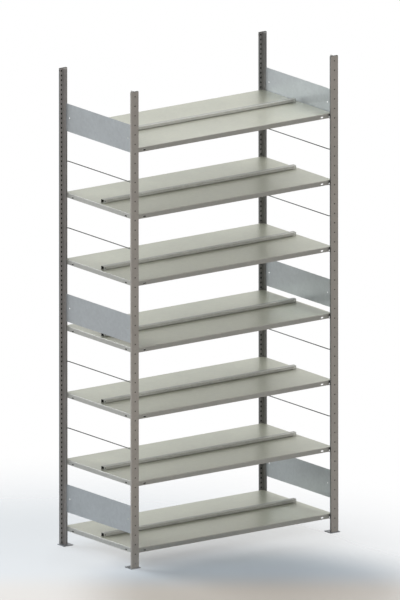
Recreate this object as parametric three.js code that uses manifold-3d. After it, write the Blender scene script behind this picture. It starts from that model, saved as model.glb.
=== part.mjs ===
// Office shelving unit: seven folded steel shelves, each with a centre stop rail, clipped into
// four slotted T-profile posts that cross plates and stop wires join on the left and the right.
// Lengths are in millimetres. X runs along the width, Y from the front to the back and Z up.
// The origin lies on the floor under the middle of the unit.

import * as THREE from "three";
import { mergeVertices } from "three/addons/utils/BufferGeometryUtils.js";
import Module from "manifold-3d";

const wasm = await Module();
wasm.setup();

// Fits shared by all pieces
const seatGap = 0.3; // between two pieces that touch
const cutOverrun = 2; // how far a cut runs past the face that it opens
const weldOverlap = 0.1; // how far a piece reaches into the one that it is welded to

// Whole unit
const unitHeight = 2500;
const shelfCount = 7;

// Posts: one folded sheet, a closed flange box on the outside and a double web that runs inwards
const postSheet = 1.2;
const postFlangeWidth = 46;
const postFlangeDepth = 12;
const postWebLength = 23;
const postBendRadius = 0.8; // on the inside of the bend
const slotPitch = 25;
const slotWidth = 8;
const slotHeight = 10;
const slotEdgeDistance = 8.5; // from the middle of the slots to the flange's edge

// Feet
const footThickness = 4;
const footOverhang = 7; // past the post's outer face and its sides
const footInnerOverhang = 18; // past the web's edge
const footCornerRadius = 4;
const footTabWidth = 30;
const footTabThickness = 3;
const footTabHeight = 22;

// Shelves: an upside-down tray with a return flange along each lip
const shelfWidth = 1250;
const shelfDepth = 600;
const shelfSheet = 1;
const shelfLipHeight = 25;
const shelfBendRadius = 2; // on the inside of the bend
const shelfReturnWidth = 38;
const shelfReturnSetback = 70; // from the shelf's end to the end of the return flange
const sideReturnWidth = 30;
const sideReturnSetback = 38; // from the shelf's front and back edges
const lipSlotLength = 16;
const lipSlotHeight = 7;
const lipSlotInset = 67; // from the shelf's end to the middle of the slot
const lipSlotRise = 10; // from the lip's lower edge to the middle of the slot
const sideSlotInset = 70; // from the shelf's front and back edges
const sideSlotRise = 8;
const lipHoleDiameter = 7;
const lipHoleInset = 21;
const lipHoleEdgeDistance = 6.8; // from the lip's upper and lower edges

// Centre stop rails: an upside-down channel on each shelf
const railSheet = 1.2;
const railWidth = 25;
const railHeight = 19;
const railEndInset = 20.5; // from the shelf's end
const railBendRadius = 2; // on the inside of the bend
const railHoleDiameter = 6;
const railHoleInset = 8.5; // from the rail's end

// Cross plates, held between the two leaves of the webs
const plateSheet = 1;
const plateHeight = 146;
const plateInsert = 19; // how deep the plate's end sits in the web
const lowPlateDistance = 248.5; // from the floor to the middle of the lowest plate
const highPlateDistance = 253; // from the posts' top to the middle of the highest plate
const plateHoleDiameter = 8;
const plateHoleDistance = 27; // from the web's edge to the middle of the hole

// Side stop wires, hooked in the slots
const wireDiameter = 5;
const wireHookDrop = 9; // from the wire's middle line to the hook's end
const wireJogReach = 5.8; // from the middle of the slot towards the shelf
const wireJogDistance = 15; // from the flange to the end of the jog

// Shelf supports: a ledge under the shelf's corner with a tongue hooked in a slot
const supportSheet = 1.4;
const supportWidth = 16;
const supportLedgeDepth = 12;
const supportHookDrop = 5; // below the slot's lower edge

// Counts of slots, from the bottom slot upwards
const freeSlotCountBelow = 3;
const freeSlotCountAbove = 13; // above the slot of the highest supports
const shelvesBelowWires = [2, 3, 5, 6];

// Sides of round stretches
const bendSteps = 1;
const shelfBendSteps = 1;
const wireBendSteps = 1;
const sharpSteps = 0;
const holeSides = 6;
const smallHoleSides = 4;
const wireSides = 6;

// Sizes worked out from those above
const webGap = plateSheet + 2 * seatGap;
const webThickness = 2 * postSheet + webGap;
const postDepth = postFlangeDepth + postWebLength;
const postCentreX = shelfWidth / 2 + seatGap + webThickness / 2;
const postFaceY = shelfDepth / 2 + supportSheet + 2 * seatGap + postFlangeDepth;
const webEdgeY = postFaceY - postDepth;
const postBottom = footThickness + seatGap;
const slotOffset = postFlangeWidth / 2 - slotEdgeDistance;
const slotCount = Math.floor(unitHeight / slotPitch);
const supportSlotRange = slotCount - freeSlotCountBelow - freeSlotCountAbove;
const slotsPerShelf = Math.floor(supportSlotRange / (shelfCount - 1));
const wireSlotsAboveSupport = Math.round(slotsPerShelf / 2);
const tongueWidth = slotWidth - 2 * seatGap;

// Height of the middle of a slot, counted from 0 at the bottom
function slotMiddle(slot) {
  return slot * slotPitch + slotPitch / 2;
}

function slotFloor(slot) {
  return slotMiddle(slot) - slotHeight / 2;
}

// The slot that the supports of a shelf hook into, with shelf 1 at the bottom
function supportSlot(shelf) {
  return freeSlotCountBelow + (shelf - 1) * slotsPerShelf;
}

// A shelf's top lies half a pitch above the slot of its supports
function shelfTop(shelf) {
  return slotMiddle(supportSlot(shelf)) + slotPitch / 2;
}

function closedSolid(geometry) {
  geometry.deleteAttribute("normal");
  geometry.deleteAttribute("uv");
  const merged = mergeVertices(geometry);
  const vertProperties = merged.getAttribute("position").array;
  const triVerts = new Uint32Array(merged.index.array);
  return new wasm.Manifold(new wasm.Mesh({ numProp: 3, vertProperties, triVerts }));
}

// An outline extruded along one axis. The outline's two coordinates are Y and Z along X,
// X and Z along Y, and X and Y along Z.
function prism(axis, outline, from, to) {
  const shape = new THREE.Shape(outline.map(([a, b]) => new THREE.Vector2(a, b)));
  const geometry = new THREE.ExtrudeGeometry(shape, { depth: to - from, bevelEnabled: false });
  const position = geometry.getAttribute("position");
  for (let i = 0; i < position.count; i += 1) {
    const a = position.getX(i);
    const b = position.getY(i);
    const c = position.getZ(i);
    if (axis === "x") {
      position.setXYZ(i, from + c, a, b);
    } else if (axis === "y") {
      position.setXYZ(i, a, to - c, b);
    } else {
      position.setXYZ(i, a, b, from + c);
    }
  }
  return closedSolid(geometry);
}

function rectangle(a0, a1, b0, b1) {
  return [
    [a0, b0],
    [a1, b0],
    [a1, b1],
    [a0, b1],
  ];
}

// A rectangle whose corners are cut off
function cutCornerRectangle(a0, a1, b0, b1, cut) {
  return [
    [a0 + cut, b0],
    [a1 - cut, b0],
    [a1, b0 + cut],
    [a1, b1 - cut],
    [a1 - cut, b1],
    [a0 + cut, b1],
    [a0, b1 - cut],
    [a0, b0 + cut],
  ];
}

// A round hole's outline, with a corner half a step away from both axes
function roundOutline(a, b, diameter, sides) {
  const points = [];
  for (let i = 0; i < sides; i += 1) {
    const angle = ((i + 1 / 2) * 2 * Math.PI) / sides;
    const reach = diameter / 2 / Math.cos(Math.PI / sides);
    points.push([a + reach * Math.cos(angle), b + reach * Math.sin(angle)]);
  }
  return points;
}

// An oblong hole's outline with pointed ends
function oblongOutline(a, b, length, height) {
  const straight = (length - height) / 2;
  return [
    [a - straight, b - height / 2],
    [a + straight, b - height / 2],
    [a + length / 2, b],
    [a + straight, b + height / 2],
    [a - straight, b + height / 2],
    [a - length / 2, b],
  ];
}

// The outline of a folded sheet whose middle line runs through the given corners. Each bend is
// an arc in a number of steps, and no steps leave the corner sharp.
function foldedSheet(corners, sheet, bendRadius, steps) {
  const middle = corners.map(([a, b]) => new THREE.Vector2(a, b));
  const leftSide = [];
  const rightSide = [];
  const addPair = (centre, normal, radius) => {
    leftSide.push(centre.clone().addScaledVector(normal, radius + sheet / 2).toArray());
    rightSide.push(centre.clone().addScaledVector(normal, radius - sheet / 2).toArray());
  };
  const leftNormal = (from, to) => {
    const along = to.clone().sub(from).normalize();
    return new THREE.Vector2(-along.y, along.x);
  };
  addPair(middle[0], leftNormal(middle[0], middle[1]), 0);
  for (let i = 1; i + 1 < middle.length; i += 1) {
    const before = leftNormal(middle[i - 1], middle[i]);
    const after = leftNormal(middle[i], middle[i + 1]);
    const sum = before.clone().add(after);
    if (steps === 0) {
      const mitre = sum.clone().multiplyScalar(sheet / (1 + before.dot(after)) / 2);
      leftSide.push(middle[i].clone().add(mitre).toArray());
      rightSide.push(middle[i].clone().sub(mitre).toArray());
      continue;
    }
    const turn = Math.sign(before.cross(after));
    const radius = bendRadius + sheet / 2;
    const centre = middle[i].clone().addScaledVector(sum, (turn * radius) / (1 + before.dot(after)));
    const angle = before.angleTo(after);
    for (let step = 0; step <= steps; step += 1) {
      const normal = before.clone().rotateAround(new THREE.Vector2(), (turn * angle * step) / steps);
      addPair(centre, normal, -turn * radius);
    }
  }
  const last = middle.length - 1;
  addPair(middle[last], leftNormal(middle[last - 1], middle[last]), 0);
  return [...leftSide, ...rightSide.reverse()];
}

function joined(solids) {
  return solids.reduce((whole, solid) => whole.add(solid));
}

// One piece of the unit as a named mesh with its own finish
function piece(name, solid, finish) {
  const { vertProperties, triVerts } = solid.getMesh();
  const geometry = new THREE.BufferGeometry();
  geometry.setAttribute("position", new THREE.BufferAttribute(vertProperties, 3));
  geometry.setIndex(new THREE.BufferAttribute(triVerts, 1));
  const flat = geometry.toNonIndexed();
  flat.computeVertexNormals();
  const mesh = new THREE.Mesh(flat, new THREE.MeshStandardMaterial(finish));
  mesh.name = name;
  return mesh;
}

const postFinish = { color: 0x948f88, roughness: 0.42, metalness: 0.7 };
const footFinish = { color: 0x8a8a86, roughness: 0.5, metalness: 0.7 };
const shelfFinish = { color: 0xbec0b4, roughness: 0.35, metalness: 0.7 };
const railFinish = { color: 0xa8aaa0, roughness: 0.38, metalness: 0.7 };
const plateFinish = { color: 0x9ea2a4, roughness: 0.4, metalness: 0.7 };
const wireFinish = { color: 0x8c8f90, roughness: 0.3, metalness: 0.8 };
const supportFinish = { color: 0x9a9c98, roughness: 0.4, metalness: 0.8 };

// The parts of a corner are drawn with X from the middle of the web towards the shelf and
// Y from the post's outer face inwards.
function makeSupport(shelf, reachIn) {
  const half = supportSheet / 2;
  const flangeFace = postFlangeDepth - reachIn;
  const plateMiddle = flangeFace + seatGap + half;
  const hookMiddle = flangeFace - postSheet - seatGap - half;
  const ledgeMiddle = shelfTop(shelf) - shelfLipHeight - seatGap - half;
  const slotBottom = slotFloor(supportSlot(shelf));
  const tongueMiddle = slotBottom + seatGap + half;
  const shoulder = slotBottom - seatGap;
  const ledge = [
    [plateMiddle + half + supportLedgeDepth, ledgeMiddle],
    [plateMiddle, ledgeMiddle],
    [plateMiddle, shoulder],
  ];
  const tongue = [
    [plateMiddle, ledgeMiddle],
    [plateMiddle, tongueMiddle],
    [hookMiddle, tongueMiddle],
    [hookMiddle, slotBottom - supportHookDrop],
  ];
  const strip = (corners, width) => {
    const outline = foldedSheet(corners, supportSheet, 0, sharpSteps);
    return prism("x", outline, slotOffset - width / 2, slotOffset + width / 2);
  };
  return strip(ledge, supportWidth).add(strip(tongue, tongueWidth));
}

function makePost() {
  const half = postSheet / 2;
  const leaf = webThickness / 2 - half;
  const edge = postFlangeWidth / 2 - half;
  const innerLayer = postFlangeDepth - half;
  const corners = [
    [-leaf, postDepth],
    [-leaf, innerLayer],
    [-edge, innerLayer],
    [-edge, half],
    [edge, half],
    [edge, innerLayer],
    [leaf, innerLayer],
    [leaf, postDepth],
  ];
  const outline = foldedSheet(corners, postSheet, postBendRadius, bendSteps);
  const profile = prism("z", outline, postBottom, unitHeight);
  const cuts = [];
  for (let slot = 0; slot < slotCount; slot += 1) {
    const opening = rectangle(
      slotOffset - slotWidth / 2,
      slotOffset + slotWidth / 2,
      slotFloor(slot),
      slotFloor(slot) + slotHeight,
    );
    cuts.push(prism("y", opening, innerLayer - half - cutOverrun, innerLayer + half + cutOverrun));
  }
  // The supports of the lowest shelf are welded to the post.
  return profile.subtract(joined(cuts)).add(makeSupport(1, seatGap + weldOverlap));
}

function makeFoot() {
  const halfWidth = postFlangeWidth / 2 + footOverhang;
  const plateOutline = cutCornerRectangle(
    -halfWidth,
    halfWidth,
    -footOverhang,
    postDepth + footInnerOverhang,
    footCornerRadius,
  );
  const plate = prism("z", plateOutline, 0, footThickness);
  const tabFace = postSheet + seatGap;
  const tabOutline = rectangle(-footTabWidth / 2, footTabWidth / 2, tabFace, tabFace + footTabThickness);
  return plate.add(prism("z", tabOutline, 0, footThickness + footTabHeight));
}

// A shelf is drawn with Z from its top face.
function makeShelf() {
  const half = shelfSheet / 2;
  const endX = shelfWidth / 2;
  const edgeY = shelfDepth / 2;
  const bend = shelfBendRadius + shelfSheet;
  const fold = (edge) => {
    const corners = [
      [half - edge, -shelfLipHeight],
      [half - edge, -half],
      [edge - half, -half],
      [edge - half, -shelfLipHeight],
    ];
    return foldedSheet(corners, shelfSheet, shelfBendRadius, shelfBendSteps);
  };
  const tray = prism("x", fold(edgeY), bend - endX, endX - bend).add(
    prism("y", fold(endX), bend - edgeY, edgeY - bend),
  );
  const returns = [];
  const holes = [];
  for (const end of [-1, 1]) {
    const near = end * edgeY;
    const far = end * (edgeY - shelfReturnWidth);
    const returnOutline = rectangle(near, far, -shelfLipHeight, shelfSheet - shelfLipHeight);
    returns.push(prism("x", returnOutline, shelfReturnSetback - endX, endX - shelfReturnSetback));
    const sideNear = end * endX;
    const sideFar = end * (endX - sideReturnWidth);
    const sideOutline = rectangle(sideNear, sideFar, -shelfLipHeight, shelfSheet - shelfLipHeight);
    returns.push(prism("y", sideOutline, sideReturnSetback - edgeY, edgeY - sideReturnSetback));
    const slotX = end * (endX - lipSlotInset);
    const holeX = end * (endX - lipHoleInset);
    const slotZ = lipSlotRise - shelfLipHeight;
    const upperZ = -lipHoleEdgeDistance;
    const lowerZ = lipHoleEdgeDistance - shelfLipHeight;
    const outlines = [
      oblongOutline(slotX, slotZ, lipSlotLength, lipSlotHeight),
      roundOutline(holeX, upperZ, lipHoleDiameter, smallHoleSides),
      roundOutline(holeX, lowerZ, lipHoleDiameter, smallHoleSides),
    ];
    for (const outline of outlines) {
      holes.push(prism("y", outline, -edgeY - cutOverrun, edgeY + cutOverrun));
    }
    const sideY = end * (edgeY - sideSlotInset);
    const sideZ = sideSlotRise - shelfLipHeight;
    const sideSlot = oblongOutline(sideY, sideZ, lipSlotLength, lipSlotHeight);
    holes.push(prism("x", sideSlot, -endX - cutOverrun, endX + cutOverrun));
  }
  return joined([tray, ...returns]).subtract(joined(holes));
}

// A rail is drawn with Z from the top face of its shelf.
function makeRail() {
  const side = (railWidth - railSheet) / 2;
  const top = seatGap + railHeight - railSheet / 2;
  const corners = [
    [-side, seatGap],
    [-side, top],
    [side, top],
    [side, seatGap],
  ];
  const halfLength = shelfWidth / 2 - railEndInset;
  const outline = foldedSheet(corners, railSheet, railBendRadius, bendSteps);
  const channel = prism("x", outline, -halfLength, halfLength);
  const holes = [-1, 1].map((end) => {
    const holeX = end * (halfLength - railHoleInset);
    return roundOutline(holeX, seatGap + railHeight / 2, railHoleDiameter, smallHoleSides);
  });
  const cuts = holes.map((hole) => {
    return prism("y", hole, -railWidth / 2 - cutOverrun, railWidth / 2 + cutOverrun);
  });
  return channel.subtract(joined(cuts));
}

// The pieces of a side are drawn with X from the middle of the webs towards the shelves.
function makeCrossPlate(middleZ) {
  const endY = webEdgeY + plateInsert;
  const outline = rectangle(-endY, endY, middleZ - plateHeight / 2, middleZ + plateHeight / 2);
  const plate = prism("x", outline, -plateSheet / 2, plateSheet / 2);
  const holes = [-1, 1].map((end) => {
    const holeY = end * (webEdgeY - plateHoleDistance);
    const hole = roundOutline(holeY, middleZ, plateHoleDiameter, holeSides);
    return prism("x", hole, -plateSheet / 2 - cutOverrun, plateSheet / 2 + cutOverrun);
  });
  return plate.subtract(joined(holes));
}

// A line through stations, each with a point and the direction that the section there faces. All
// the directions are square to X, so X holds the sections upright.
class StationCurve extends THREE.Curve {
  constructor(stations) {
    super();
    this.stations = stations;
  }

  getPoint(t) {
    const place = Math.min(Math.max(t, 0), 1) * (this.stations.length - 1);
    const index = Math.min(Math.floor(place), this.stations.length - 2);
    const nextPoint = this.stations[index + 1].point;
    return this.stations[index].point.clone().lerp(nextPoint, place - index);
  }

  getPointAt(u) {
    return this.getPoint(u);
  }

  computeFrenetFrames() {
    const frames = { tangents: [], normals: [], binormals: [] };
    for (const { facing } of this.stations) {
      const binormal = new THREE.Vector3(1, 0, 0);
      frames.tangents.push(facing);
      frames.normals.push(binormal.clone().cross(facing));
      frames.binormals.push(binormal);
    }
    return frames;
  }
}

function makeStopWire(slot) {
  const radius = wireDiameter / 2;
  const bend = radius + seatGap; // of the wire's middle line
  const hookY = postFaceY - postFlangeDepth + postSheet + seatGap + radius;
  const wireZ = slotFloor(slot) + seatGap + radius;
  const jogY = postFaceY - postFlangeDepth - wireJogDistance;
  const level = Math.PI / 2;
  const halfStations = [];
  const addStation = (x, y, z, angle) => {
    const facing = new THREE.Vector3(0, -Math.sin(angle), Math.cos(angle));
    halfStations.push({ point: new THREE.Vector3(x, y, z), facing });
  };
  addStation(slotOffset, hookY, wireZ - wireHookDrop, 0);
  for (let step = 0; step <= wireBendSteps; step += 1) {
    const angle = (step / wireBendSteps) * level;
    const y = hookY - bend * (1 - Math.cos(angle));
    const z = wireZ - bend * (1 - Math.sin(angle));
    addStation(slotOffset, y, z, angle);
  }
  addStation(slotOffset + wireJogReach, jogY, wireZ, level);
  const mirrored = halfStations.map(({ point, facing }) => ({
    point: new THREE.Vector3(point.x, -point.y, point.z),
    facing: new THREE.Vector3(0, facing.y, -facing.z),
  }));
  const stations = [...halfStations, ...mirrored.reverse()];
  const section = new THREE.Shape(
    roundOutline(0, 0, wireDiameter, wireSides).map(([a, b]) => new THREE.Vector2(a, b)),
  );
  const extrudePath = new StationCurve(stations);
  const settings = { steps: stations.length - 1, bevelEnabled: false, extrudePath };
  return closedSolid(new THREE.ExtrudeGeometry(section, settings));
}

function makeCorner(depthName, widthName, sideY, sideX) {
  const corner = new THREE.Group();
  const place = depthName + "_" + widthName;
  corner.add(piece("foot_" + place, makeFoot(), footFinish));
  corner.add(piece("post_" + place, makePost(), postFinish));
  for (let shelf = 2; shelf <= shelfCount; shelf += 1) {
    corner.add(piece("support_" + shelf + "_" + place, makeSupport(shelf, 0), supportFinish));
  }
  corner.position.set(sideX * postCentreX, sideY * postFaceY, 0);
  corner.scale.set(-sideX, -sideY, 1);
  return corner;
}

function makeSide(widthName, sideX) {
  const side = new THREE.Group();
  const lowest = lowPlateDistance;
  const highest = unitHeight - highPlateDistance;
  const plateHeights = [lowest, (lowest + highest) / 2, highest];
  plateHeights.forEach((middleZ, index) => {
    const name = "cross_plate_" + widthName + "_" + (index + 1);
    side.add(piece(name, makeCrossPlate(middleZ), plateFinish));
  });
  for (const shelf of shelvesBelowWires) {
    const wire = makeStopWire(supportSlot(shelf) + wireSlotsAboveSupport);
    side.add(piece("stop_wire_" + widthName + "_" + shelf, wire, wireFinish));
  }
  side.position.set(sideX * postCentreX, 0, 0);
  side.scale.set(-sideX, 1, 1);
  return side;
}

function makeShelfLevel(shelf) {
  const level = new THREE.Group();
  level.add(piece("shelf_" + shelf, makeShelf(), shelfFinish));
  level.add(piece("stop_rail_" + shelf, makeRail(), railFinish));
  level.position.set(0, 0, shelfTop(shelf));
  return level;
}

const shelvingUnit = new THREE.Group();
shelvingUnit.name = "shelving_unit";
for (const [depthName, sideY] of [["front", -1], ["back", 1]]) {
  for (const [widthName, sideX] of [["left", -1], ["right", 1]]) {
    shelvingUnit.add(makeCorner(depthName, widthName, sideY, sideX));
  }
}
for (const [widthName, sideX] of [["left", -1], ["right", 1]]) {
  shelvingUnit.add(makeSide(widthName, sideX));
}
for (let shelf = 1; shelf <= shelfCount; shelf += 1) {
  shelvingUnit.add(makeShelfLevel(shelf));
}

export default shelvingUnit;
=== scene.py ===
import math

import bmesh
import bpy
from mathutils import Matrix, Vector
from mathutils.geometry import delaunay_2d_cdt


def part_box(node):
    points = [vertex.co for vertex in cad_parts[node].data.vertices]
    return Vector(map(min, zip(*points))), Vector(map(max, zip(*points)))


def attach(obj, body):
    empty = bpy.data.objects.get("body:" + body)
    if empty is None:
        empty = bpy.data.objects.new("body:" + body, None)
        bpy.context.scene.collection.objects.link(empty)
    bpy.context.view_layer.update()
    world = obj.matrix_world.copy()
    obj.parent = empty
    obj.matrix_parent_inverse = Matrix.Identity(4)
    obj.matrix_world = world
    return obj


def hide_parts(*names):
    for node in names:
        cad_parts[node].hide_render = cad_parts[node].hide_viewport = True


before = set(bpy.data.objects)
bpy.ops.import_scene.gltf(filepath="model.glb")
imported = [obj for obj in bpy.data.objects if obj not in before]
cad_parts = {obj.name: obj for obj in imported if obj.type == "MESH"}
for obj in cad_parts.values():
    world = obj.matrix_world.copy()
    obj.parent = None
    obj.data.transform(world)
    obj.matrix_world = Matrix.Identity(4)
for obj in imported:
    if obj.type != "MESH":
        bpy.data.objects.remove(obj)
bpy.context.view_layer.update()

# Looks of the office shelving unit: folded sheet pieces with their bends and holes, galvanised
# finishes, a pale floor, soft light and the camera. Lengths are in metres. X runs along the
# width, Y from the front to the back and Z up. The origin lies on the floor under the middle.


def numbers_of(kind):
    """The numbers in the names of solids of one kind, which run from 1 up."""
    return range(1, 1 + sum(name.startswith(kind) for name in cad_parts))


def middle_of(node):
    low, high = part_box(node)
    return (low + high) / 2


# Numbers, sizes and places that the frame gives. Those of a corner are of the back right one.
SHELVES = numbers_of("shelf_")
PLATES = numbers_of("cross_plate_right_")
SHELVES_BELOW_WIRES = [shelf for shelf in SHELVES if f"stop_wire_right_{shelf}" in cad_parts]
post_low, post_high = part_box("post_back_right")
foot_low, foot_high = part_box("foot_back_right")
UNIT_HEIGHT = post_high.z
POST_BOTTOM = post_low.z
POST_CENTRE_X = middle_of("post_back_right").x
POST_FACE_Y = post_high.y
WEB_EDGE_Y = post_low.y
POST_DEPTH = POST_FACE_Y - WEB_EDGE_Y
POST_FLANGE_WIDTH = post_high.x - post_low.x
FOOT_OVERHANG = foot_high.y - POST_FACE_Y  # past the post's outer face and its sides
FOOT_INNER_OVERHANG = WEB_EDGE_Y - foot_low.y
FOOT_TAB_TOP = foot_high.z

# Other sizes that the solids have too. The radius of a bend is that of the sheet's middle.
SEAT_GAP = 0.0003  # between two pieces that touch
POST_SHEET = 0.0012
POST_FLANGE_DEPTH = 0.012
POST_BEND_RADIUS = 0.0014
SLOT_PITCH = 0.025
SLOT_WIDTH = 0.008
SLOT_HEIGHT = 0.010
SLOT_EDGE_DISTANCE = 0.0085  # from the middle of the slots to the flange's edge

FOOT_THICKNESS = 0.004
FOOT_CORNER_RADIUS = 0.004
FOOT_TAB_WIDTH = 0.030
FOOT_TAB_THICKNESS = 0.003

SHELF_SHEET = 0.001
SHELF_BEND_RADIUS = 0.0025
SHELF_RETURN_WIDTH = 0.038
SHELF_RETURN_SETBACK = 0.07  # from the shelf's end to the end of the return flange
SIDE_RETURN_WIDTH = 0.030
SIDE_RETURN_SETBACK = 0.038  # from the shelf's front and back edges
LIP_SLOT_LENGTH = 0.016
LIP_SLOT_HEIGHT = 0.007
LIP_SLOT_INSET = 0.067  # from the shelf's end to the middle of the slot
LIP_SLOT_RISE = 0.010  # from the lip's lower edge to the middle of the slot
SIDE_SLOT_INSET = 0.07  # from the shelf's front and back edges
SIDE_SLOT_RISE = 0.008
LIP_HOLE_DIAMETER = 0.007
LIP_HOLE_INSET = 0.021
LIP_HOLE_EDGE_DISTANCE = 0.0068  # from the lip's upper and lower edges

RAIL_SHEET = 0.0012
RAIL_BEND_RADIUS = 0.0026
RAIL_HOLE_DIAMETER = 0.006
RAIL_HOLE_INSET = 0.0085  # from the rail's end

PLATE_SHEET = 0.001
PLATE_HOLE_DIAMETER = 0.008
PLATE_HOLE_DISTANCE = 0.027  # from the web's edge to the middle of the hole

WIRE_DIAMETER = 0.005
WIRE_JOG_REACH = 0.0058  # from the middle of the slot towards the shelf
WIRE_JOG_DISTANCE = 0.015  # from the flange to the end of the jog

SUPPORT_SHEET = 0.0014
SUPPORT_WIDTH = 0.016
SUPPORT_LEDGE_DEPTH = 0.012
SUPPORT_HOOK_DROP = 0.005  # below the slot's lower edge
SUPPORT_BEND_RADIUS = 0.0008

# Sizes of what only the looks have
SLOT_CORNER_RADIUS = 0.0015
FACE_HOLE_PITCH = 0.05
FACE_HOLE_DIAMETER = 0.0072
CAP_HOLE_DIAMETER = 0.0075  # of the hole in a post's sides near its top
FOOT_TAB_CORNER_RADIUS = 0.0005
FOOT_EDGE_BEVEL = 0.0006
RAIL_FRONT_FOOT_LENGTH = 0.010
RAIL_BACK_FOOT_LENGTH = 0.032
RAIL_FOOT_HEIGHT = 0.0024
RIVET_HEAD_DIAMETER = 0.009
RIVET_HEAD_HEIGHT = 0.002
RIVET_SHANK_DIAMETER = 0.0045
RIVET_SPREAD = 0.025  # above and below the plate's middle line
RIVET_WEB_DISTANCE = 0.0115  # from the web's edge

# Sizes and counts worked out from those above
POST_WEB_GAP = PLATE_SHEET + 2 * SEAT_GAP
SLOT_OFFSET = POST_FLANGE_WIDTH / 2 - SLOT_EDGE_DISTANCE
SLOT_COUNT = round(UNIT_HEIGHT / SLOT_PITCH)
FACE_HOLE_COUNT = round(UNIT_HEIGHT / FACE_HOLE_PITCH)

# Tones of a sheet's faces: the main ones, then two kinds of narrower ones. A tone can carry a lighter
# or darker copy of a finish, as painted light or shade for faces that look another way.
MAIN = 0
EDGE = 1
SIDE = 2
TONE_COUNT = 3

# How finely round forms are made
BEND_STEPS = 4
HOLE_SIDES = 16
CORNER_STEPS = 3
OBLONG_CORNER_STEPS = 4
OBLONG_ROUNDNESS = 0.999  # under 1, so that the straight end of an oblong keeps a length
FOOT_CORNER_STEPS = 5
FOOT_BEVEL_SEGMENTS = 2
FOOT_BEVEL_ANGLE = math.radians(60)  # edges that turn by more than this get the bevel
WIRE_BEND_STEPS = 6
WIRE_BEVEL_RESOLUTION = 4
RIVET_SIDES = 14
RIVET_RINGS = 4

QUARTER_TURN = math.pi / 2
INSIDE_TRIANGLES = 1  # the kind of result in which delaunay_2d_cdt keeps what lies in an outline
PANEL_TOLERANCE = 1e-9
WELD_DISTANCE = 1e-6


def slot_middle(slot):
    return (slot + 0.5) * SLOT_PITCH


# Outlines of holes and plates, as lists of points in the plane of a panel
def round_outline(a, b, diameter, sides=HOLE_SIDES):
    """A circle around its middle, as a polygon."""
    step = 2 * math.pi / sides
    radius = diameter / 2
    return [(a + radius * math.cos(i * step), b + radius * math.sin(i * step)) for i in range(sides)]


def rectangle(a_range, b_range, lower_stops=()):
    """A rectangle, with a corner in its lower edge at each of the stops."""
    (a0, a1), (b0, b1) = a_range, b_range
    return [*((a, b0) for a in (a0, *lower_stops, a1)), (a1, b1), (a0, b1)]


def rounded_rectangle(a, b, width, height, radius, steps=CORNER_STEPS):
    """A rectangle around its middle, with arcs for corners."""
    points = []
    for quarter, (side_a, side_b) in enumerate(((1, 1), (-1, 1), (-1, -1), (1, -1))):
        centre_a = a + side_a * (width / 2 - radius)
        centre_b = b + side_b * (height / 2 - radius)
        for step in range(steps + 1):
            angle = (quarter + step / steps) * QUARTER_TURN
            points.append((centre_a + radius * math.cos(angle), centre_b + radius * math.sin(angle)))
    return points


def oblong_outline(a, b, length, height):
    """A hole with two round ends."""
    return rounded_rectangle(a, b, length, height, height / 2 * OBLONG_ROUNDNESS, OBLONG_CORNER_STEPS)


def add_object(name, data):
    added = bpy.data.objects.new(name, data)
    bpy.context.scene.collection.objects.link(added)
    return added


def object_from(name, mesh):
    data = bpy.data.meshes.new(name)
    mesh.to_mesh(data)
    mesh.free()
    return add_object(name, data)


class SheetSurface:
    """The middle surface of a folded sheet, collected panel by panel and bend by bend. The tone is
    the number of the finish that the next faces get. Their inner sides get the finish that comes
    TONE_COUNT places later in the list."""

    def __init__(self):
        self.mesh = bmesh.new()
        self.tone = MAIN

    def add_faces(self, points, faces):
        corners = [self.mesh.verts.new(point) for point in points]
        for face in faces:
            self.mesh.faces.new([corners[i] for i in face]).material_index = self.tone

    def add_panel(self, place, outline, holes=()):
        """A flat outline with holes. The function place turns its two coordinates into a point.
        A triangle with all its corners on the outline of one hole fills that hole, so it goes."""
        flat = []
        edges = []
        owner = []
        for number, loop in enumerate([outline, *holes]):
            first = len(flat)
            count = len(loop)
            flat += [Vector(point) for point in loop]
            owner += [number] * count
            edges += [(first + i, first + (i + 1) % count) for i in range(count)]
        points, _, faces, sources, _, _ = delaunay_2d_cdt(
            flat, edges, [], INSIDE_TRIANGLES, PANEL_TOLERANCE
        )
        loop_of = [owner[source[0]] for source in sources]
        kept = []
        for face in faces:
            touched = {loop_of[i] for i in face}
            if len(touched) > 1 or 0 in touched:
                kept.append(face)
        self.add_faces([place(point.x, point.y) for point in points], kept)

    def add_bend(self, place, centre, radius, from_angle, to_angle, b_range):
        """A bend along the second coordinate, around a centre in the plane of the first."""
        points = []
        for step in range(BEND_STEPS + 1):
            angle = from_angle + (to_angle - from_angle) * step / BEND_STEPS
            a = centre[0] + radius * math.cos(angle)
            c = centre[1] + radius * math.sin(angle)
            points += [place(a, c, b_range[0]), place(a, c, b_range[1])]
        faces = [(2 * i, 2 * i + 2, 2 * i + 3, 2 * i + 1) for i in range(BEND_STEPS)]
        self.add_faces(points, faces)

    def finish(self, name, sheet, matrix=None, inside=None):
        """The surface as an object whose modifier gives it the thickness of the sheet. Its normals
        point away from the place inside, where one is given."""
        bmesh.ops.remove_doubles(self.mesh, verts=self.mesh.verts, dist=WELD_DISTANCE)
        bmesh.ops.recalc_face_normals(self.mesh, faces=self.mesh.faces)
        if inside is not None:
            face = next(iter(self.mesh.faces))
            if (face.calc_center_median() - Vector(inside)).dot(face.normal) < 0:
                bmesh.ops.reverse_faces(self.mesh, faces=self.mesh.faces)
        if matrix is not None:
            self.mesh.transform(matrix)
            if matrix.determinant() < 0:
                bmesh.ops.reverse_faces(self.mesh, faces=self.mesh.faces)
        piece = object_from(name, self.mesh)
        solid = piece.modifiers.new("thickness", "SOLIDIFY")
        solid.thickness = sheet
        solid.offset = 0
        solid.use_even_offset = True
        if inside is not None:
            solid.material_offset = TONE_COUNT
        return piece


def from_plan(x, y, z):
    """A point of a profile that is drawn from above, at a height."""
    return Vector((x, y, z))


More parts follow.
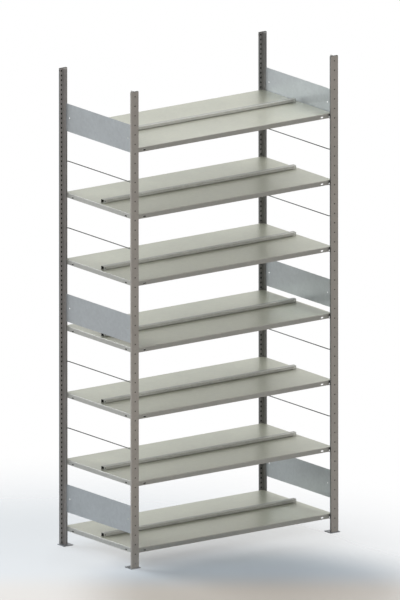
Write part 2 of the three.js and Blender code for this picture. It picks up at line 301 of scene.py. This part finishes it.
def from_section(y, z, x):
    """A point of a profile that is drawn across the depth, at a place along the width."""
    return Vector((x, y, z))


def add_profile(surface, corners, radius, place, b_range, holes=None, outlines=None, tones=None):
    """A sheet folded along a profile, with holes, outlines and tones by the number of the panel. A
    hole is a list of ((x, y), b), with the place in the profile's plane first. A panel that has no
    outline of its own is a rectangle."""
    holes = holes or {}
    outlines = outlines or {}
    tones = tones or {}
    middle = [Vector(corner) for corner in corners]
    count = len(middle)
    start = middle[0]
    for i in range(count - 1):
        along = (middle[i + 1] - middle[i]).normalized()
        end = middle[i + 1]
        turning = i + 2 < count
        if turning:
            after = (middle[i + 2] - middle[i + 1]).normalized()
            turn = 1 if along.cross(after) > 0 else -1
            angle = along.angle(after)
            cut = radius * math.tan(angle / 2)
            end = middle[i + 1] - along * cut

        def place_on_panel(a, b, start=start, along=along):
            point = start + along * a
            return place(point.x, point.y, b)

        panel_holes = [
            [((Vector(point) - start).dot(along), b) for point, b in hole] for hole in holes.get(i, ())
        ]
        outline = outlines.get(i) or rectangle((0, (end - start).length), b_range)
        surface.tone = tones.get(i, MAIN)
        surface.add_panel(place_on_panel, outline, panel_holes)
        if turning:
            left = Vector((-along.y, along.x))
            centre = end + left * turn * radius
            from_angle = math.atan2(-left.y * turn, -left.x * turn)
            surface.add_bend(place, centre, radius, from_angle, from_angle + turn * angle, b_range)
            start = middle[i + 1] + after * cut


def corner_matrix(side_x, side_y):
    """From a corner's own axes, X inwards from the web and Y inwards from the outer face."""
    turned = Matrix.Diagonal((-side_x, -side_y, 1, 1))
    return Matrix.Translation((side_x * POST_CENTRE_X, side_y * POST_FACE_Y, 0)) @ turned


def make_post(name, matrix):
    """One strip, folded into a flange box and a web of two leaves."""
    half = POST_SHEET / 2
    leaf = POST_WEB_GAP / 2 + half
    edge = POST_FLANGE_WIDTH / 2 - half
    inner = POST_FLANGE_DEPTH - half
    corners = [
        (-leaf, POST_DEPTH),
        (-leaf, inner),
        (-edge, inner),
        (-edge, half),
        (edge, half),
        (edge, inner),
        (leaf, inner),
        (leaf, POST_DEPTH),
    ]

    def facing_y(y, outline):
        return [((x, y), z) for x, z in outline]

    def facing_x(x, outline):
        return [((x, y), z) for y, z in outline]

    def slot_outline(x, slot):
        return rounded_rectangle(x, slot_middle(slot), SLOT_WIDTH, SLOT_HEIGHT, SLOT_CORNER_RADIUS)

    def slot_column(x):
        return [facing_y(inner, slot_outline(x, slot)) for slot in range(SLOT_COUNT)]

    face_holes = [
        facing_y(half, round_outline(0, (i + 0.5) * FACE_HOLE_PITCH, FACE_HOLE_DIAMETER))
        for i in range(FACE_HOLE_COUNT)
    ]
    cap_hole = round_outline(POST_FLANGE_DEPTH / 2, UNIT_HEIGHT - SLOT_PITCH / 2, CAP_HOLE_DIAMETER)
    # Panels in order: web leaf, inner flange, side, outer face, side, inner flange, web leaf
    holes = {
        1: slot_column(-SLOT_OFFSET),
        2: [facing_x(-edge, cap_hole)],
        3: face_holes,
        4: [facing_x(edge, cap_hole)],
        5: slot_column(SLOT_OFFSET),
    }
    tones = {0: EDGE, 1: EDGE, 2: SIDE, 4: SIDE, 5: EDGE, 6: EDGE}
    surface = SheetSurface()
    z_range = (POST_BOTTOM, UNIT_HEIGHT)
    add_profile(surface, corners, POST_BEND_RADIUS, from_plan, z_range, holes, tones=tones)
    return surface.finish(name, POST_SHEET, matrix, (0, POST_FLANGE_DEPTH / 2, UNIT_HEIGHT / 2))


def make_support(name, shelf_node, matrix):
    """A clip: the ledge that carries the shelf's corner, and a tongue hooked through the slot whose
    middle is half a pitch below the shelf's top."""
    shelf_low, shelf_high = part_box(shelf_node)
    slot = round(shelf_high.z / SLOT_PITCH) - 1
    half = SUPPORT_SHEET / 2
    face = POST_FLANGE_DEPTH
    plate = face + SEAT_GAP + half
    hook = face - POST_SHEET - SEAT_GAP - half
    ledge = shelf_low.z - SEAT_GAP - half
    bottom = slot_middle(slot) - SLOT_HEIGHT / 2
    tongue = bottom + SEAT_GAP + half
    shoulder = bottom - SEAT_GAP
    ledge_corners = [(plate + half + SUPPORT_LEDGE_DEPTH, ledge), (plate, ledge), (plate, shoulder)]
    tongue_corners = [
        (plate, shoulder),
        (plate, tongue),
        (hook, tongue),
        (hook, bottom - SUPPORT_HOOK_DROP),
    ]
    tongue_width = SLOT_WIDTH - 2 * SEAT_GAP
    wide = (SLOT_OFFSET - SUPPORT_WIDTH / 2, SLOT_OFFSET + SUPPORT_WIDTH / 2)
    narrow = (SLOT_OFFSET - tongue_width / 2, SLOT_OFFSET + tongue_width / 2)
    surface = SheetSurface()
    add_profile(surface, ledge_corners, SUPPORT_BEND_RADIUS, from_section, wide)
    add_profile(surface, tongue_corners, SUPPORT_BEND_RADIUS, from_section, narrow)
    return surface.finish(name, SUPPORT_SHEET, matrix)


def extruded(outline, low, high):
    mesh = bmesh.new()
    corners = [mesh.verts.new((a, b, low)) for a, b in outline]
    bottom = mesh.faces.new(corners)
    lifted = bmesh.ops.extrude_face_region(mesh, geom=[bottom])["geom"]
    moved = [item for item in lifted if isinstance(item, bmesh.types.BMVert)]
    bmesh.ops.translate(mesh, verts=moved, vec=(0, 0, high - low))
    bmesh.ops.recalc_face_normals(mesh, faces=mesh.faces)
    return mesh


def make_foot(name, matrix):
    """A plate on the floor, with a tab that stands up inside the post's flange box."""
    width = POST_FLANGE_WIDTH + 2 * FOOT_OVERHANG
    depth = POST_DEPTH + FOOT_OVERHANG + FOOT_INNER_OVERHANG
    middle = depth / 2 - FOOT_OVERHANG
    plate_outline = rounded_rectangle(0, middle, width, depth, FOOT_CORNER_RADIUS, FOOT_CORNER_STEPS)
    plate = extruded(plate_outline, 0, FOOT_THICKNESS)
    tab_middle = POST_SHEET + SEAT_GAP + FOOT_TAB_THICKNESS / 2
    tab_outline = rounded_rectangle(
        0, tab_middle, FOOT_TAB_WIDTH, FOOT_TAB_THICKNESS, FOOT_TAB_CORNER_RADIUS
    )
    tab = extruded(tab_outline, FOOT_THICKNESS, FOOT_TAB_TOP)
    tab_data = bpy.data.meshes.new(name + "_tab")
    tab.to_mesh(tab_data)
    tab.free()
    plate.from_mesh(tab_data)
    bpy.data.meshes.remove(tab_data)
    plate.transform(matrix)
    bmesh.ops.recalc_face_normals(plate, faces=plate.faces)
    piece = object_from(name, plate)
    bevel = piece.modifiers.new("edge", "BEVEL")
    bevel.width = FOOT_EDGE_BEVEL
    bevel.segments = FOOT_BEVEL_SEGMENTS
    bevel.limit_method = "ANGLE"
    bevel.angle_limit = FOOT_BEVEL_ANGLE
    return piece


def make_shelf(name, node):
    """A tray turned upside down: a deck, four lips with slots and holes, and return flanges."""
    low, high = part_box(node)
    edge_x, edge_y, top = high
    lip_height = top - low.z
    half = SHELF_SHEET / 2
    radius = SHELF_BEND_RADIUS
    flat_x = edge_x - half - radius
    flat_y = edge_y - half - radius
    return_x = edge_x - SHELF_RETURN_SETBACK
    return_y = edge_y - SIDE_RETURN_SETBACK
    lip_bottom = half - lip_height
    lip_top = -half - radius
    lip_range = (lip_bottom, lip_top)
    front_holes = []
    side_holes = []
    for end in (-1, 1):
        hole_x = end * (edge_x - LIP_HOLE_INSET)
        slot_x = end * (edge_x - LIP_SLOT_INSET)
        slot_z = LIP_SLOT_RISE - lip_height
        front_holes.append(oblong_outline(slot_x, slot_z, LIP_SLOT_LENGTH, LIP_SLOT_HEIGHT))
        for hole_z in (-LIP_HOLE_EDGE_DISTANCE, LIP_HOLE_EDGE_DISTANCE - lip_height):
            front_holes.append(round_outline(hole_x, hole_z, LIP_HOLE_DIAMETER))
        slot_y = end * (edge_y - SIDE_SLOT_INSET)
        slot_z = SIDE_SLOT_RISE - lip_height
        side_holes.append(oblong_outline(slot_y, slot_z, LIP_SLOT_LENGTH, LIP_SLOT_HEIGHT))

    def on_deck(x, y):
        return Vector((x, y, top - half))

    def on_return(x, y):
        return Vector((x, y, top + lip_bottom))

    surface = SheetSurface()
    surface.add_panel(on_deck, rectangle((-flat_x, flat_x), (-flat_y, flat_y)))
    for end in (-1, 1):
        lip_x = end * (edge_x - half)
        lip_y = end * (edge_y - half)

        def on_front(x, z, y=lip_y):
            return Vector((x, y, top + z))

        def on_side(y, z, x=lip_x):
            return Vector((x, y, top + z))

        def front_bend(y, z, x, end=end):
            return Vector((x, end * y, top + z))

        def side_bend(x, z, y, end=end):
            return Vector((end * x, y, top + z))

        surface.tone = EDGE
        front_lip = rectangle((-flat_x, flat_x), lip_range, (-return_x, return_x))
        surface.add_panel(on_front, front_lip, front_holes)
        surface.tone = SIDE
        side_lip = rectangle((-flat_y, flat_y), lip_range, (-return_y, return_y))
        surface.add_panel(on_side, side_lip, side_holes)
        surface.add_bend(side_bend, (flat_x, lip_top), radius, 0, QUARTER_TURN, (-flat_y, flat_y))
        surface.tone = EDGE
        surface.add_bend(front_bend, (flat_y, lip_top), radius, 0, QUARTER_TURN, (-flat_x, flat_x))
        inner_y = end * (edge_y - SHELF_RETURN_WIDTH)
        surface.add_panel(on_return, rectangle((-return_x, return_x), (lip_y, inner_y)))
        inner_x = end * (edge_x - SIDE_RETURN_WIDTH)
        surface.add_panel(on_return, rectangle((lip_x, inner_x), (-return_y, return_y)))
    return surface.finish(name, SHELF_SHEET, inside=middle_of(node))


def make_rail(name, node):
    """An upside-down channel whose two walls stand on a foot at each end."""
    low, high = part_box(node)
    middle = middle_of(node)
    half = RAIL_SHEET / 2
    end_x = high.x
    side = high.y - half
    foot = low.z
    ridge = high.z - half
    corners = [(-side, foot), (-side, ridge), (side, ridge), (side, foot)]
    wall_height = ridge - foot - RAIL_BEND_RADIUS

    def wall_outline(edge, lifted, far, foot_length):
        """A wall whose lower edge is lifted off the shelf between its two feet."""
        foot_end = end_x - foot_length
        gap = [(edge, -foot_end), (lifted, -foot_end), (lifted, foot_end), (edge, foot_end)]
        return [(edge, -end_x), *gap, (edge, end_x), (far, end_x), (far, -end_x)]

    # Panels in order: front wall, ridge, back wall
    outlines = {
        0: wall_outline(0, RAIL_FOOT_HEIGHT, wall_height, RAIL_FRONT_FOOT_LENGTH),
        2: wall_outline(wall_height, wall_height - RAIL_FOOT_HEIGHT, 0, RAIL_BACK_FOOT_LENGTH),
    }
    front_holes = []
    for end in (-1, 1):
        outline = round_outline(end * (end_x - RAIL_HOLE_INSET), middle.z, RAIL_HOLE_DIAMETER)
        front_holes.append([((-side, z), x) for x, z in outline])
    surface = SheetSurface()
    x_range = (-end_x, end_x)
    holes = {0: front_holes}
    tones = {1: EDGE}
    add_profile(surface, corners, RAIL_BEND_RADIUS, from_section, x_range, holes, outlines, tones)
    return surface.finish(name, RAIL_SHEET, inside=middle)


def make_plate(name, node):
    """A flat plate that joins the front and back post of one side."""
    low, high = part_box(node)
    middle = middle_of(node)
    holes = [
        round_outline(end * (WEB_EDGE_Y - PLATE_HOLE_DISTANCE), middle.z, PLATE_HOLE_DIAMETER)
        for end in (-1, 1)
    ]

    def on_plate(y, z):
        return Vector((middle.x, y, z))

    surface = SheetSurface()
    surface.add_panel(on_plate, rectangle((low.y, high.y), (low.z, high.z)), holes)
    return surface.finish(name, PLATE_SHEET)


def make_wire(name, side_x, node):
    """A wire whose ends hook down behind the flanges of the front and back post of one side."""
    low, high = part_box(node)
    radius = WIRE_DIAMETER / 2
    bend = radius + SEAT_GAP
    flange_y = POST_FACE_Y - POST_FLANGE_DEPTH
    hook_x = side_x * (POST_CENTRE_X - SLOT_OFFSET)
    run_x = hook_x - side_x * WIRE_JOG_REACH
    hook_y = high.y - radius
    wire_z = high.z - radius
    back_half = [(hook_x, hook_y, low.z)]
    for step in range(WIRE_BEND_STEPS + 1):
        angle = step / WIRE_BEND_STEPS * QUARTER_TURN
        y = hook_y - bend * (1 - math.cos(angle))
        z = wire_z - bend * (1 - math.sin(angle))
        back_half.append((hook_x, y, z))
    back_half.append((hook_x, flange_y, wire_z))
    back_half.append((run_x, flange_y - WIRE_JOG_DISTANCE, wire_z))
    path = back_half + [(x, -y, z) for x, y, z in reversed(back_half)]
    curve = bpy.data.curves.new(name, "CURVE")
    curve.dimensions = "3D"
    line = curve.splines.new("POLY")
    line.points.add(len(path) - 1)
    for point, place in zip(line.points, path):
        point.co = (*place, 1)
    curve.bevel_depth = radius
    curve.bevel_resolution = WIRE_BEVEL_RESOLUTION
    curve.use_fill_caps = True
    return add_object(name, curve)


def make_rivet(name, centre):
    """A domed head on each face of the web, joined by the shank."""
    web_face = POST_WEB_GAP / 2 + POST_SHEET
    head_radius = RIVET_HEAD_DIAMETER / 2
    outer = [(RIVET_SHANK_DIAMETER / 2, web_face)]
    for ring in range(RIVET_RINGS):
        angle = ring / RIVET_RINGS * QUARTER_TURN
        outer.append((head_radius * math.cos(angle), web_face + RIVET_HEAD_HEIGHT * math.sin(angle)))
    profile = [(radius, -height) for radius, height in reversed(outer)] + outer
    mesh = bmesh.new()
    loops = []
    for radius, height in profile:
        loops.append([
            mesh.verts.new(centre + Vector((height, a, b)))
            for a, b in round_outline(0, 0, 2 * radius, RIVET_SIDES)
        ])
    for lower, upper in zip(loops, loops[1:]):
        for i in range(RIVET_SIDES):
            j = (i + 1) % RIVET_SIDES
            mesh.faces.new((lower[i], lower[j], upper[j], upper[i]))
    mesh.faces.new(loops[0])
    mesh.faces.new(loops[-1])
    bmesh.ops.recalc_face_normals(mesh, faces=mesh.faces)
    return object_from(name, mesh)


# Nodes of the finishes, the floor and the backdrop. A source is a node and the name of its output.
def link(tree, source, target, socket):
    node, output = source
    tree.links.new(node.outputs[output], target.inputs[socket])


def emptied_tree(owner):
    """The node tree of a material or a world, without the nodes that it starts with."""
    owner.use_nodes = True
    owner.node_tree.nodes.clear()
    return owner.node_tree


def add_node(tree, kind, values=None):
    """A node with values for some of its inputs, given by their names."""
    node = tree.nodes.new(kind)
    for socket, value in (values or {}).items():
        node.inputs[socket].default_value = value
    return node


def combined(tree, operation, first, second):
    """The source that a Math node makes of two others."""
    node = tree.nodes.new("ShaderNodeMath")
    node.operation = operation
    link(tree, first, node, 0)
    link(tree, second, node, 1)
    return node, "Value"


def ranged(tree, source, from_range, to_range, kind="LINEAR"):
    """The source's numbers taken from one range over into another."""
    node = tree.nodes.new("ShaderNodeMapRange")
    node.interpolation_type = kind
    node.inputs["From Min"].default_value = from_range[0]
    node.inputs["From Max"].default_value = from_range[1]
    node.inputs["To Min"].default_value = to_range[0]
    node.inputs["To Max"].default_value = to_range[1]
    link(tree, source, node, "Value")
    return node, "Result"


def mixed(tree, factor, first, second):
    """A colour between two, where the factor is a source."""
    node = tree.nodes.new("ShaderNodeMix")
    node.data_type = "RGBA"
    node.inputs["A"].default_value = first
    node.inputs["B"].default_value = second
    link(tree, factor, node, "Factor")
    return node, "Result"


# Finishes, which stray from their colour by the sum of three patterns: clouds, spangle and grain
SHADE_SPREAD = 0.3  # the most that it strays, as a share of the colour
GLOSS_SPREAD = 0.15  # how far it strays where the roughness reaches its ends
CLOUD_SCALE = 4.5
CLOUD_DETAIL = 3
CLOUD_WEIGHT = 0.10
SPANGLE_SCALE = 70
SPANGLE_WEIGHT = 0.035
GRAIN_DETAIL = 4
ALONG_X = (12, 500, 500)  # scales of a grain that runs along X
ALONG_Y = (500, 12, 500)
ALONG_Z = (500, 500, 12)
RELIEF_STRENGTH = 0.12
RELIEF_DEPTH = 0.0004
REFRACTION = 1.5
METAL = 0.2


def galvanised(name, colour, roughness, grain_scale, grain_weight, metal=METAL):
    """Zinc-coated sheet: clouds, spangle and fine lines in colour, gloss and relief. The roughness
    is a range."""
    material = bpy.data.materials.new(name)
    tree = emptied_tree(material)
    place = (add_node(tree, "ShaderNodeTexCoord"), "Object")
    clouds = add_node(tree, "ShaderNodeTexNoise", {"Scale": CLOUD_SCALE, "Detail": CLOUD_DETAIL})
    link(tree, place, clouds, "Vector")
    spangle = add_node(tree, "ShaderNodeTexVoronoi", {"Scale": SPANGLE_SCALE})
    link(tree, place, spangle, "Vector")
    spangle_shades = add_node(tree, "ShaderNodeSeparateColor")
    link(tree, (spangle, "Color"), spangle_shades, "Color")
    stretch = add_node(tree, "ShaderNodeMapping", {"Scale": grain_scale})
    link(tree, place, stretch, "Vector")
    grain = add_node(tree, "ShaderNodeTexNoise", {"Scale": 1, "Detail": GRAIN_DETAIL})
    link(tree, (stretch, "Vector"), grain, "Vector")

    def weighted(source, weight):
        return ranged(tree, source, (0, 1), (-weight, weight))

    cloud_part = weighted((clouds, "Fac"), CLOUD_WEIGHT)
    spangle_part = weighted((spangle_shades, "Red"), SPANGLE_WEIGHT)
    grain_part = weighted((grain, "Fac"), grain_weight)
    pattern = combined(tree, "ADD", combined(tree, "ADD", cloud_part, spangle_part), grain_part)
    shade = ranged(tree, pattern, (-SHADE_SPREAD, SHADE_SPREAD), (0, 1))
    darkest = (*[c * (1 - SHADE_SPREAD) for c in colour], 1)
    lightest = (*[c * (1 + SHADE_SPREAD) for c in colour], 1)
    relief = add_node(tree, "ShaderNodeBump", {"Strength": RELIEF_STRENGTH, "Distance": RELIEF_DEPTH})
    link(tree, pattern, relief, "Height")
    shader = add_node(tree, "ShaderNodeBsdfPrincipled", {"Metallic": metal, "IOR": REFRACTION})
    link(tree, mixed(tree, shade, darkest, lightest), shader, "Base Color")
    link(tree, ranged(tree, pattern, (-GLOSS_SPREAD, GLOSS_SPREAD), roughness), shader, "Roughness")
    link(tree, (relief, "Normal"), shader, "Normal")
    output = add_node(tree, "ShaderNodeOutputMaterial")
    link(tree, (shader, "BSDF"), output, "Surface")
    return material


# Name, colour, range of roughness, direction of the grain and its weight
post_finish = galvanised("post_galvanised", (0.495, 0.455, 0.41), (0.3, 0.45), ALONG_Z, 0.03)
# The posts' inner faces: a lit copy of the steel for the left posts, and a darker copy with painted
# shade for the right posts
lit_post_inner_finish = galvanised("post_inner_painted_light", (0.50, 0.475, 0.455), (0.35, 0.5), ALONG_Z, 0.03)
shaded_post_inner_finish = galvanised("post_inner_painted_shade", (0.34, 0.335, 0.325), (0.35, 0.5), ALONG_Z, 0.03)
# A near-black painted shade for the sides of the posts' flange boxes
shaded_post_side_finish = galvanised("post_side_painted_shade", (0.13, 0.13, 0.13), (0.4, 0.55), ALONG_Z, 0.03)
foot_finish = galvanised("foot_galvanised", (0.30, 0.31, 0.33), (0.35, 0.5), ALONG_X, 0.03)
deck_finish = galvanised("shelf_galvanised", (0.53, 0.535, 0.445), (0.29, 0.41), ALONG_X, 0.02)
# Copies of the deck's steel: a darker one with painted shade for the front and back lips, and a
# lighter one with painted light for the side lips
shaded_lip_finish = galvanised("lip_painted_shade", (0.45, 0.44, 0.40), (0.29, 0.41), ALONG_X, 0.02)
lit_side_lip_finish = galvanised("side_lip_painted_light", (0.55, 0.545, 0.51), (0.29, 0.41), ALONG_Y, 0.02)
# Copies of the rail's steel: a lighter one with painted light for its walls, and a darker one with
# painted shade for its ridge
lit_rail_wall_finish = galvanised("rail_wall_painted_light", (0.65, 0.655, 0.63), (0.3, 0.42), ALONG_X, 0.02)
shaded_ridge_finish = galvanised("ridge_painted_shade", (0.40, 0.405, 0.365), (0.34, 0.46), ALONG_X, 0.02)
plate_finish = galvanised("plate_galvanised", (0.52, 0.55, 0.57), (0.26, 0.38), ALONG_Y, 0.02)
wire_finish = galvanised("wire_zinc", (0.04, 0.04, 0.041), (0.45, 0.6), ALONG_Y, 0.02)
support_finish = galvanised("support_galvanised", (0.4, 0.4, 0.39), (0.3, 0.45), ALONG_Z, 0.02)
rivet_finish = galvanised("rivet_zinc", (0.36, 0.36, 0.35), (0.3, 0.4), ALONG_Z, 0.02, metal=0.6)
# A near-black painted shade for the inner sides of the folds and boxes
painted_shade_inside_finish = galvanised("inside_of_folds_painted_shade", (0.035, 0.033, 0.03), (0.7, 0.9), ALONG_X, 0.01, metal=0)

# Finishes of a sheet in the order of the tones, with those of the inner sides behind. The inner sides
# get a near-black painted shade, except the underside of a shelf's deck.
PAINTED_SHADE_INSIDES = (painted_shade_inside_finish,) * TONE_COUNT
# The front left post's sides keep the post's finish, while the other posts' sides get painted shade.
# The right posts' inner faces get the shaded copy and the left posts' the lit one.
post_finishes = {
    "front_left": (post_finish, lit_post_inner_finish, post_finish, *PAINTED_SHADE_INSIDES),
    "back_left": (post_finish, lit_post_inner_finish, shaded_post_side_finish, *PAINTED_SHADE_INSIDES),
    "front_right": (post_finish, shaded_post_inner_finish, shaded_post_side_finish, *PAINTED_SHADE_INSIDES),
    "back_right": (post_finish, shaded_post_inner_finish, shaded_post_side_finish, *PAINTED_SHADE_INSIDES),
}
shelf_finishes = (deck_finish, shaded_lip_finish, lit_side_lip_finish, deck_finish, painted_shade_inside_finish, painted_shade_inside_finish)
rail_finishes = (lit_rail_wall_finish, shaded_ridge_finish, lit_rail_wall_finish, *PAINTED_SHADE_INSIDES)


# The pieces, each with its finishes, the name of a material slot, which is not used, and the node that
# it stands for
def dress(piece, finishes, slot, *nodes):
    for finish in finishes:
        piece.data.materials.append(finish)
    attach(piece, "root")
    if nodes:
        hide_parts(*nodes)


LEFT_AND_RIGHT = (("left", -1), ("right", 1))
FRONT_AND_BACK = (("front", -1), ("back", 1))

for depth_name, side_y in FRONT_AND_BACK:
    for side_name, side_x in LEFT_AND_RIGHT:
        at = f"{depth_name}_{side_name}"
        matrix = corner_matrix(side_x, side_y)
        dress(make_post(f"post_sheet_{at}", matrix), post_finishes[at], "post_steel", f"post_{at}")
        dress(make_foot(f"foot_plate_{at}", matrix), (foot_finish,), "foot_steel", f"foot_{at}")
        for shelf in SHELVES:
            clip = make_support(f"support_clip_{shelf}_{at}", f"shelf_{shelf}", matrix)
            # The solids of the posts include the clips under the lowest shelf
            node = f"support_{shelf}_{at}"
            nodes = [node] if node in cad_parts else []
            dress(clip, (support_finish,), "support_steel", *nodes)

for side_name, side_x in LEFT_AND_RIGHT:
    for number in PLATES:
        node = f"cross_plate_{side_name}_{number}"
        plate = make_plate(f"side_plate_{side_name}_{number}", node)
        dress(plate, (plate_finish,), "plate_steel", node)
        middle = middle_of(node)
        for depth_name, side_y in FRONT_AND_BACK:
            for level_name, level in (("lower", -1), ("upper", 1)):
                away = (0, side_y * (WEB_EDGE_Y + RIVET_WEB_DISTANCE), level * RIVET_SPREAD)
                rivet = make_rivet(
                    f"rivet_{side_name}_{number}_{depth_name}_{level_name}", middle + Vector(away)
                )
                dress(rivet, (rivet_finish,), "wire_steel")
    for shelf in SHELVES_BELOW_WIRES:
        node = f"stop_wire_{side_name}_{shelf}"
        wire = make_wire(f"side_wire_{side_name}_{shelf}", side_x, node)
        dress(wire, (wire_finish,), "wire_steel", node)

for shelf in SHELVES:
    node = f"shelf_{shelf}"
    dress(make_shelf(f"shelf_tray_{shelf}", node), shelf_finishes, "shelf_steel", node)
    node = f"stop_rail_{shelf}"
    dress(make_rail(f"rail_channel_{shelf}", node), rail_finishes, "rail_steel", node)


# Backdrop and floor
WHITE = (1, 1, 1, 1)
FLOOR_SIZE = 14
FRONT_SHADE = ((-0.39, -1.08, 0), (0.56, 1.10), 0.54)  # painted shade: middle, start and end of its fade, strength
WIDE_SHADE = ((-1.18, -0.30, 0), (1.14, 2.73), 0.43)  # the same for the faint painted shade around it
# Colours of the floor under its painted shade, cool turning warm towards the front
COOL_FLOOR = (0.76, 0.85, 0.95, 1)
WARM_FLOOR = (0.92, 0.85, 0.78, 1)
TOWARDS_FRONT = (-0.589, -0.808, 0)  # the way along which the floor turns from cool to warm
WARM_RANGE = (0.65, 1.15)  # where along that way it turns


def make_backdrop():
    """White to the camera, in mirrors and through glass, and dark to all other rays."""
    world = bpy.data.worlds.new("studio")
    bpy.context.scene.world = world
    tree = emptied_tree(world)
    path = add_node(tree, "ShaderNodeLightPath")
    seen = (path, "Is Camera Ray")
    for ray in ("Is Glossy Ray", "Is Transmission Ray"):
        seen = combined(tree, "MAXIMUM", seen, (path, ray))
    backdrop = add_node(tree, "ShaderNodeBackground", {"Color": WHITE})
    link(tree, seen, backdrop, "Strength")
    output = add_node(tree, "ShaderNodeOutputWorld")
    link(tree, (backdrop, "Background"), output, "Surface")


def make_floor():
    """A pale floor that takes the unit's shadow where it covers. Its cover fades out from two patches
    of painted shade, so that it is clear further away.
    """
    reach = FLOOR_SIZE / 2
    corners = [(-reach, -reach, 0), (reach, -reach, 0), (reach, reach, 0), (-reach, reach, 0)]
    data = bpy.data.meshes.new("floor")
    data.from_pydata(corners, [], [(0, 1, 2, 3)])
    add_object("floor", data)
    material = bpy.data.materials.new("floor_pale")
    tree = emptied_tree(material)
    place = (add_node(tree, "ShaderNodeTexCoord"), "Object")

    def measured(operation, vector):
        """A number from the place on the floor and a fixed vector."""
        node = tree.nodes.new("ShaderNodeVectorMath")
        node.operation = operation
        node.inputs[1].default_value = vector
        link(tree, place, node, 0)
        return node, "Value"

    shades = [
        ranged(tree, measured("DISTANCE", middle), fade, (strength, 0), "SMOOTHSTEP")
        for middle, fade, strength in (FRONT_SHADE, WIDE_SHADE)
    ]
    warmth = ranged(tree, measured("DOT_PRODUCT", TOWARDS_FRONT), WARM_RANGE, (0, 1), "SMOOTHSTEP")
    pale = add_node(tree, "ShaderNodeBsdfDiffuse")
    link(tree, mixed(tree, warmth, COOL_FLOOR, WARM_FLOOR), pale, "Color")
    clear = add_node(tree, "ShaderNodeBsdfTransparent")
    cover = add_node(tree, "ShaderNodeMixShader")
    link(tree, combined(tree, "ADD", *shades), cover, 0)
    link(tree, (clear, "BSDF"), cover, 1)
    link(tree, (pale, "BSDF"), cover, 2)
    output = add_node(tree, "ShaderNodeOutputMaterial")
    link(tree, (cover, "Shader"), output, "Surface")
    data.materials.append(material)


make_backdrop()
make_floor()

# Light
LAMP_DISTANCE = 14
LAMP_SIZE = 8
UNIT_MIDDLE = Vector((0, 0, UNIT_HEIGHT / 2))


def add_lamp(name, azimuth, elevation, power, colour):
    """A square soft box aimed at the unit's middle. Azimuth runs from +Y towards +X, in degrees."""
    turn = math.radians(azimuth)
    rise = math.radians(elevation)
    away = Vector((
        math.sin(turn) * math.cos(rise),
        math.cos(turn) * math.cos(rise),
        math.sin(rise),
    ))
    data = bpy.data.lights.new(name, "AREA")
    data.shape = "SQUARE"
    data.size = LAMP_SIZE
    data.energy = power
    data.color = colour
    lamp = add_object(name, data)
    lamp.location = UNIT_MIDDLE + away * LAMP_DISTANCE
    lamp.rotation_euler = away.to_track_quat("Z", "Y").to_euler()


# Name, azimuth, elevation, power in watts and colour
add_lamp("low_back_key", -20, 15, 1460, (0.94, 0.99, 1))
add_lamp("high_back_rim", 35, 50, 520, (0.98, 1, 1))
add_lamp("left_fill", -90, 38, 528, (0.98, 0.99, 1))
add_lamp("front_fill", 180, 30, 180, (1, 1, 1))
add_lamp("front_right_fill", 140, 40, 460, (1, 0.97, 0.92))

# Camera
VIEW_AZIMUTH = math.radians(-36.069)  # from -Y towards +X
VIEW_ELEVATION = math.radians(14.291)
VIEW_ROLL = math.radians(-0.04)
VIEW_TARGET = Vector((0.00865, 0, 1.2488))
VIEW_HEIGHT = 3.0503  # of what the picture shows
VIEW_DISTANCE = 12
VIEW_CLIP_END = 60
backwards = Vector((
    math.sin(VIEW_AZIMUTH) * math.cos(VIEW_ELEVATION),
    -math.cos(VIEW_AZIMUTH) * math.cos(VIEW_ELEVATION),
    math.sin(VIEW_ELEVATION),
))
camera_data = bpy.data.cameras.new("camera")
camera_data.type = "ORTHO"
camera_data.ortho_scale = VIEW_HEIGHT
camera_data.clip_end = VIEW_CLIP_END
camera = add_object("camera", camera_data)
camera.location = VIEW_TARGET + backwards * VIEW_DISTANCE
camera.rotation_euler = backwards.to_track_quat("Z", "Y").to_euler()
camera.rotation_euler.rotate_axis("Z", VIEW_ROLL)
bpy.context.scene.camera = camera
bpy.context.scene.view_settings.view_transform = "Standard"
